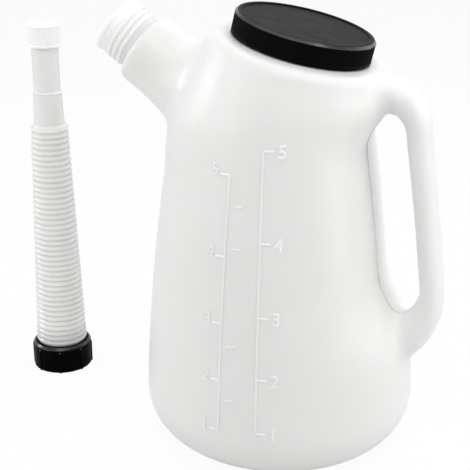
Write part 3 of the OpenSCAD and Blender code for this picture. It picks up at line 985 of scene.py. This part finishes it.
# %% Outline of the flexible spout
FLEX = Vector((-196, 35, 0))
COLLAR_H = 21.5
RIBBED_H = 199
RIDGES = 42
FLEX_D_LOW = 40
FLEX_D_TOP = 28.6
RIDGE_DEPTH = 1.3
FLEX_WALL = 1.4
FLEX_H = 275
NOZZLE_D = 20
CONE_D_LOW = NOZZLE_D + 3.4
CONE_D_TOP = NOZZLE_D + 1.2
BEAD_Z = RIBBED_H + 26
FLANGE_Z = 16.6
FLANGE_D = 40.8
FLANGE_T = 2.4
FLEX_CLEAR = 0.3
BEAD_T = 0.5
flex_place = Matrix.Translation(FLEX * MM)
ridge_pitch = (RIBBED_H - COLLAR_H) / RIDGES
first_z = COLLAR_H + FLEX_CLEAR
neck_r = FLEX_D_LOW / 2 - RIDGE_DEPTH
outside = [
    (FLANGE_D / 2, FLANGE_Z, 0.4),
    (FLANGE_D / 2, FLANGE_Z + FLANGE_T, 0.4),
    (neck_r, FLANGE_Z + FLANGE_T, 0.2),
]
for i in range(RIDGES):
    z = first_z + i * ridge_pitch
    r = between(FLEX_D_LOW, FLEX_D_TOP, i / (RIDGES - 1)) / 2
    outside += [(r - RIDGE_DEPTH, z, 0.15), (r, z + 0.28 * ridge_pitch, 0.65),
                (r, z + 0.62 * ridge_pitch, 0.65), (r - RIDGE_DEPTH, z + 0.9 * ridge_pitch, 0.15)]
outside += [
    (FLEX_D_TOP / 2 - RIDGE_DEPTH, RIBBED_H + 0.4, 0.3),
    (CONE_D_LOW / 2, RIBBED_H + 1.4, 0.5),
    (CONE_D_TOP / 2, BEAD_Z - 0.9, 0.2),
    (CONE_D_TOP / 2 + BEAD_T, BEAD_Z - 0.4, 0.3),
    (CONE_D_TOP / 2 + BEAD_T, BEAD_Z + 0.4, 0.3),
    (NOZZLE_D / 2, BEAD_Z + 0.9, 0.2),
    (NOZZLE_D / 2, FLEX_H, 0.5),
]
inside = [
    (NOZZLE_D / 2 - FLEX_WALL, FLEX_H, 0.4),
    (NOZZLE_D / 2 - FLEX_WALL, BEAD_Z, 0),
    (CONE_D_LOW / 2 - FLEX_WALL, RIBBED_H, 0),
]
for i in reversed(range(RIDGES)):
    z = first_z + i * ridge_pitch
    r = between(FLEX_D_LOW, FLEX_D_TOP, i / (RIDGES - 1)) / 2 - RIDGE_DEPTH - FLEX_WALL
    inside += [(r, z + 0.8 * ridge_pitch, 0), (r + 0.7, z + 0.45 * ridge_pitch, 0.4)]
inside += [(neck_r - FLEX_WALL, COLLAR_H, 0), (neck_r - FLEX_WALL, FLANGE_Z, 0.3)]
print("corners of the outline:", len(outside + inside))

# %% [markdown]
# ## Finish of the flexible spout
# Its plastic is softer and clearer than the jug's. The hollows between ridges get painted shade, a grey
# that stands in for the shade in the grooves, and near the foot a painted darkening stands in for the
# black nut seen through the wall. True see-through plastic would need many more light paths to be free
# of noise. Both painted effects follow the height, so the colour reads that.

# %% Finish of the flexible spout
# Soft polyethylene straight from the mould: a wet-looking gloss with a glint on each ridge.
FLEX_IOR = 1.51
FOOT_SHADE_FADE = 16
clear_plastic, shader = moulded_finish(
    "soft_polyethylene", ("EBEBEA", "E6E6E5"), 25, (0.16, 0.22), 2, 0.004)
shader.inputs["IOR"].default_value = FLEX_IOR
tree = clear_plastic.node_tree
mixed = shader.inputs["Base Color"].links[0].from_socket
place = add_node(tree, "TexCoord").outputs["Object"]
height = add_node(tree, "SeparateXYZ", {0: place}).outputs["Z"]
# Painted shade: the hollows between ridges are drawn greyer, towards C8C8C7, in place of the shade in
# the grooves.
first_hollow = 0.05 - first_z / ridge_pitch
turn = add_node(tree, "Math", {0: height, 1: per_metre(ridge_pitch), 2: first_hollow},
                operation="MULTIPLY_ADD")
wave = add_node(tree, "Math", {0: turn.outputs[0], 1: 0.5}, operation="PINGPONG")
hollow_shade_wave = add_node(tree, "MapRange", {"Value": wave.outputs[0], "From Min": 0.05, "From Max": 0.3,
                                     "To Min": 0.26, "To Max": 0}, interpolation_type="SMOOTHSTEP")
ribbed = add_node(tree, "Math", {0: height, 1: RIBBED_H * MM}, operation="LESS_THAN")
painted_hollow_shade = add_node(tree, "Math", {0: hollow_shade_wave.outputs[0], 1: ribbed.outputs[0]}, operation="MULTIPLY")
with_hollow_shade = add_node(tree, "Mix", {0: painted_hollow_shade.outputs[0], 6: mixed, 7: linear("C8C8C7")}, data_type="RGBA")
# Painted shade: over the lowest ridges the colour darkens towards A0A0A0, in place of the black nut seen
# through the wall.
foot_shade = add_node(tree, "MapRange", {"Value": height, "From Min": (COLLAR_H + FOOT_SHADE_FADE) * MM,
                                   "From Max": COLLAR_H * MM, "To Min": 0, "To Max": 0.6})
tones = {0: foot_shade.outputs[0], 6: with_hollow_shade.outputs[2], 7: linear("A0A0A0")}
shown = add_node(tree, "Mix", tones, data_type="RGBA")
tree.links.new(shown.outputs[2], shader.inputs["Base Color"])
print("finish of the flexible spout:", clear_plastic.name)

# %% Flexible spout
FLEX_STEPS = 80
flex_tube = finish_piece(turned(outside + inside, FLEX_STEPS), "flex_tube", "flex",
                         clear_plastic, flex_place)
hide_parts("flex_spout")

# %% [markdown]
# ## Collar nut
# The black nut has a few round grip ribs under a chamfer, and a thread inside that fits the jug's
# mouth. Each rib could be a half round bar with a cut top. A ball whose lower half is drawn down to
# the foot gives the same bar with a round top in one step.

# %% Collar nut
COLLAR_BORE = MOUTH_D + 2 * THREAD_DEPTH + THREAD_CLEAR
COLLAR_WALL = 2.2
COLLAR_D = COLLAR_BORE + 2 * COLLAR_WALL
COLLAR_CHAMFER = 2
COLLAR_TOP = 2.2
COLLAR_RIBS = 8
COLLAR_RIB_R = 1.4
RIB_SUNK = 0.6
RIB_DROP = 3.2
RIB_FOOT = 0.1
COLLAR_THREAD_Z = 2.4
COLLAR_TURNS = 2.5
collar = turned([
    (COLLAR_BORE / 2, 0, 0.4),
    (COLLAR_D / 2, 0, 0.5),
    (COLLAR_D / 2, COLLAR_H - COLLAR_CHAMFER, 0.5),
    (COLLAR_D / 2 - COLLAR_CHAMFER, COLLAR_H, 0.5),
    (neck_r + FLEX_CLEAR, COLLAR_H, 0.3),
    (neck_r + FLEX_CLEAR, COLLAR_H - COLLAR_TOP, 0.2),
    (COLLAR_BORE / 2, COLLAR_H - COLLAR_TOP, 0.4),
], 144)
for i in range(COLLAR_RIBS):
    turn = Matrix.Rotation(2 * math.pi / COLLAR_RIBS * (i + 0.5), 4, "Z")
    top = COLLAR_H - RIB_DROP - COLLAR_RIB_R
    rib = bmesh.ops.create_uvsphere(collar, u_segments=20, v_segments=12,
                                    radius=COLLAR_RIB_R * MM)["verts"]
    for v in rib:
        v.co.z = v.co.z + top * MM if v.co.z > -0.01 * MM else RIB_FOOT * MM
    bmesh.ops.translate(collar, verts=rib, vec=((COLLAR_D / 2 - RIB_SUNK) * MM, 0, 0))
    bmesh.ops.transform(collar, verts=rib, matrix=turn)
add_thread(collar, COLLAR_BORE, COLLAR_THREAD_Z, MOUTH_PITCH, COLLAR_TURNS, inward=True)
collar.normal_update()
polish(collar, COLLAR_H - 6, COLLAR_D / 2 - COLLAR_CHAMFER - 0.4, (0.3, 0.92))
collar_shell = finish_piece(collar, "collar_shell", "collar", black_collar, flex_place)
collar_shell.data.materials.append(polished_black)
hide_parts("collar_nut")

# %% [markdown]
# ## Nozzle cap
# A small push-on cap of plain white plastic closes the nozzle. It is turned, and its fine ribs are cut
# as the lid's are, between a smooth lip and a rounded top.

# %% Nozzle cap
CAP_D = 24
CAP_H = 17.5
CAP_RIBS = 36
CAP_LIP = 1.6
CAP_PLATE = 1.6
CAP_ROUND = 2
CAP_Z = FLEX_H + FLEX_CLEAR + CAP_PLATE - CAP_H
cap_r = CAP_D / 2
cap = turned([
    (NOZZLE_D / 2 + FLEX_CLEAR, 0, 0.2),
    (cap_r, 0, 0.4),
    (cap_r, CAP_LIP, 0.3),
    (cap_r - 0.2, CAP_LIP + 0.3, 0),
    (cap_r - RIB_SET, CAP_LIP + 0.7, 0),
    (cap_r - RIB_SET, CAP_H - CAP_ROUND - 0.4, 0),
    (cap_r - RIB_SET, CAP_H - CAP_ROUND, 0.2),
    (cap_r - 1.2, CAP_H, 1),
    (cap_r - 6, CAP_H, 0),
    (0, CAP_H, 0),
    (0, CAP_H - CAP_PLATE, 0),
    (NOZZLE_D / 2 + FLEX_CLEAR, CAP_H - CAP_PLATE, 0.3),
], CAP_RIBS * 8)
cut_ribs(cap, CAP_RIBS, CAP_LIP + 0.5, CAP_H - CAP_ROUND - 0.2, cap_r - RIB_DEPTH, RIB_DEPTH)
cap_place = Matrix.Translation((FLEX + Vector((0, 0, CAP_Z))) * MM)
cap_shell = finish_piece(cap, "cap_shell", "cap", white_plastic, cap_place)
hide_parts("nozzle_cap")

# %% [markdown]
# ## Keep flats flat
# Smooth shading rounds a chamfer well but also bends the light on the flat beside it. Weighted normals
# let the large faces decide, so flats stay flat and small roundings stay round.

# %% Weighted normals
for piece in (lid_shell, collar_shell, cap_shell, flex_tube):
    piece.data.set_sharp_from_angle(angle=math.radians(50))
    weighted = piece.modifiers.new("flats", "WEIGHTED_NORMAL")
    weighted.keep_sharp = True
    print("flats kept flat on", piece.name)

# %% [markdown]
# ## Camera
# The photograph looks down on the jug from its front, a little towards the handle, with a long lens.
# The camera's place and direction are given in the part's own frame.

# %% Camera
IMAGE_W = 470
FOCAL_PX = 1100
CAMERA_PLACE = Vector((206.9, -685.4, 412.4))
LOOK_ALONG = Vector((-0.3109, 0.8842, -0.3486))
camera_data = bpy.data.cameras.new("camera")
camera_data.sensor_width = 36
camera_data.lens = camera_data.sensor_width * FOCAL_PX / IMAGE_W
camera = link(camera_data, "camera")
camera.location = CAMERA_PLACE * MM
camera.rotation_euler = LOOK_ALONG.to_track_quat("-Z", "Y").to_euler()
bpy.context.scene.camera = camera
bpy.context.scene.view_settings.view_transform = "Standard"
print("lens:", round(camera_data.lens, 1), "mm")

# %% [markdown]
# ## Floor
# The jug stands on a white sweep of paper, as for a catalogue picture. More light would burn the floor
# to white, and the jug with it. Instead the camera sees the paper as nearly plain white, and a part of
# the paper's own shading is kept, so a faint shadow stays under the pieces.

# %% Floor
FLOOR_SIZE = 6
FLOOR_DROP = 0.0002
PLAIN_WHITE = 0.935
floor_mesh = bmesh.new()
bmesh.ops.create_grid(floor_mesh, x_segments=1, y_segments=1, size=FLOOR_SIZE / 2)
floor = link(mesh_from(floor_mesh, "floor"), "floor")
floor_mesh.free()
floor.location.z = -FLOOR_DROP
paper = bpy.data.materials.new("white_paper")
paper.use_nodes = True
tree = paper.node_tree
tree.nodes.clear()
rays = add_node(tree, "LightPath")
seen = add_node(tree, "Math", {0: rays.outputs["Is Camera Ray"], 1: PLAIN_WHITE}, operation="MULTIPLY")
matt = add_node(tree, "BsdfDiffuse", {"Color": linear("EAEAEA")})
white = add_node(tree, "Emission", {"Color": (1, 1, 1, 1), "Strength": 1})
mixed = add_node(tree, "MixShader", {0: seen.outputs[0], 1: matt.outputs[0], 2: white.outputs[0]})
add_node(tree, "OutputMaterial", {"Surface": mixed.outputs[0]})
floor.data.materials.append(paper)
floor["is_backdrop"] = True
print("floor:", FLOOR_SIZE, "m")

# %% [markdown]
# ## Studio light
# A large soft light overhead, softer ones in front and at both sides, and a dim white room. Small hard
# lamps would draw sharp shadows on the milky skin. The camera and the glossy faces see the room as
# white, while the light that it gives is dimmer, so that pale plastic does not clip.

# %% World
ROOM_LIGHT = 0.42
world = bpy.data.worlds.new("studio")
bpy.context.scene.world = world
world.use_nodes = True
tree = world.node_tree
tree.nodes.clear()
rays = add_node(tree, "LightPath")
glossy, through = rays.outputs["Is Glossy Ray"], rays.outputs["Is Transmission Ray"]
mirrors = add_node(tree, "Math", {0: glossy, 1: through}, operation="MAXIMUM")
seen = add_node(tree, "Math", {0: rays.outputs["Is Camera Ray"], 1: mirrors.outputs[0]},
                operation="MAXIMUM")
soft = add_node(tree, "Background", {"Color": linear("E8E8E8"), "Strength": ROOM_LIGHT})
white = add_node(tree, "Background", {"Color": (1, 1, 1, 1), "Strength": 1})
mixed = add_node(tree, "MixShader", {0: seen.outputs[0], 1: soft.outputs[0], 2: white.outputs[0]})
add_node(tree, "OutputWorld", {"Surface": mixed.outputs[0]})
print("world:", world.name)

# %% Lamps
JUG_MIDDLE = Vector((0, 0, 0.15))


def add_lamp(name, place, size, watts):
    """Adds a square soft light, sizes in metres, that faces the middle of the jug."""
    lamp = bpy.data.lights.new(name, "AREA")
    lamp.size = size
    lamp.energy = watts
    obj = link(lamp, name)
    obj.location = place
    obj.rotation_euler = (JUG_MIDDLE - Vector(place)).to_track_quat("-Z", "Y").to_euler()


add_lamp("overhead", (0.05, -0.05, 1.5), 1.4, 5.9)
add_lamp("front_top", (0.1, -1, 1.4), 0.7, 5.2)
add_lamp("right_key", (0.85, -0.35, 1.35), 0.4, 2.6)
add_lamp("right_side", (1.2, 0, 0.6), 0.9, 4.8)
add_lamp("left_side", (-1.3, -0.1, 0.6), 0.35, 3.5)
add_lamp("front_left", (-1.1, -1.1, 0.7), 0.8, 4.6)
add_lamp("back_top", (0, 0.9, 1.2), 1, 4.5)
add_lamp("back_right", (1, 0.9, 0.5), 0.9, 2.8)
print("lamps:", ", ".join(lamp.name for lamp in bpy.data.lights))

# %% [markdown]
# ## Sizes
# The sizes of the imported solids and of the visible pieces are both printed. The visible pieces must
# not outgrow the imported solids.

# %% Sizes for comparison
visual_box = [list(corner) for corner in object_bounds()]
for name, (low, high) in (("solids", cad_box), ("visible pieces", visual_box)):
    print(name, "measure", [round((b - a) / MM, 1) for a, b in zip(low, high)], "mm")
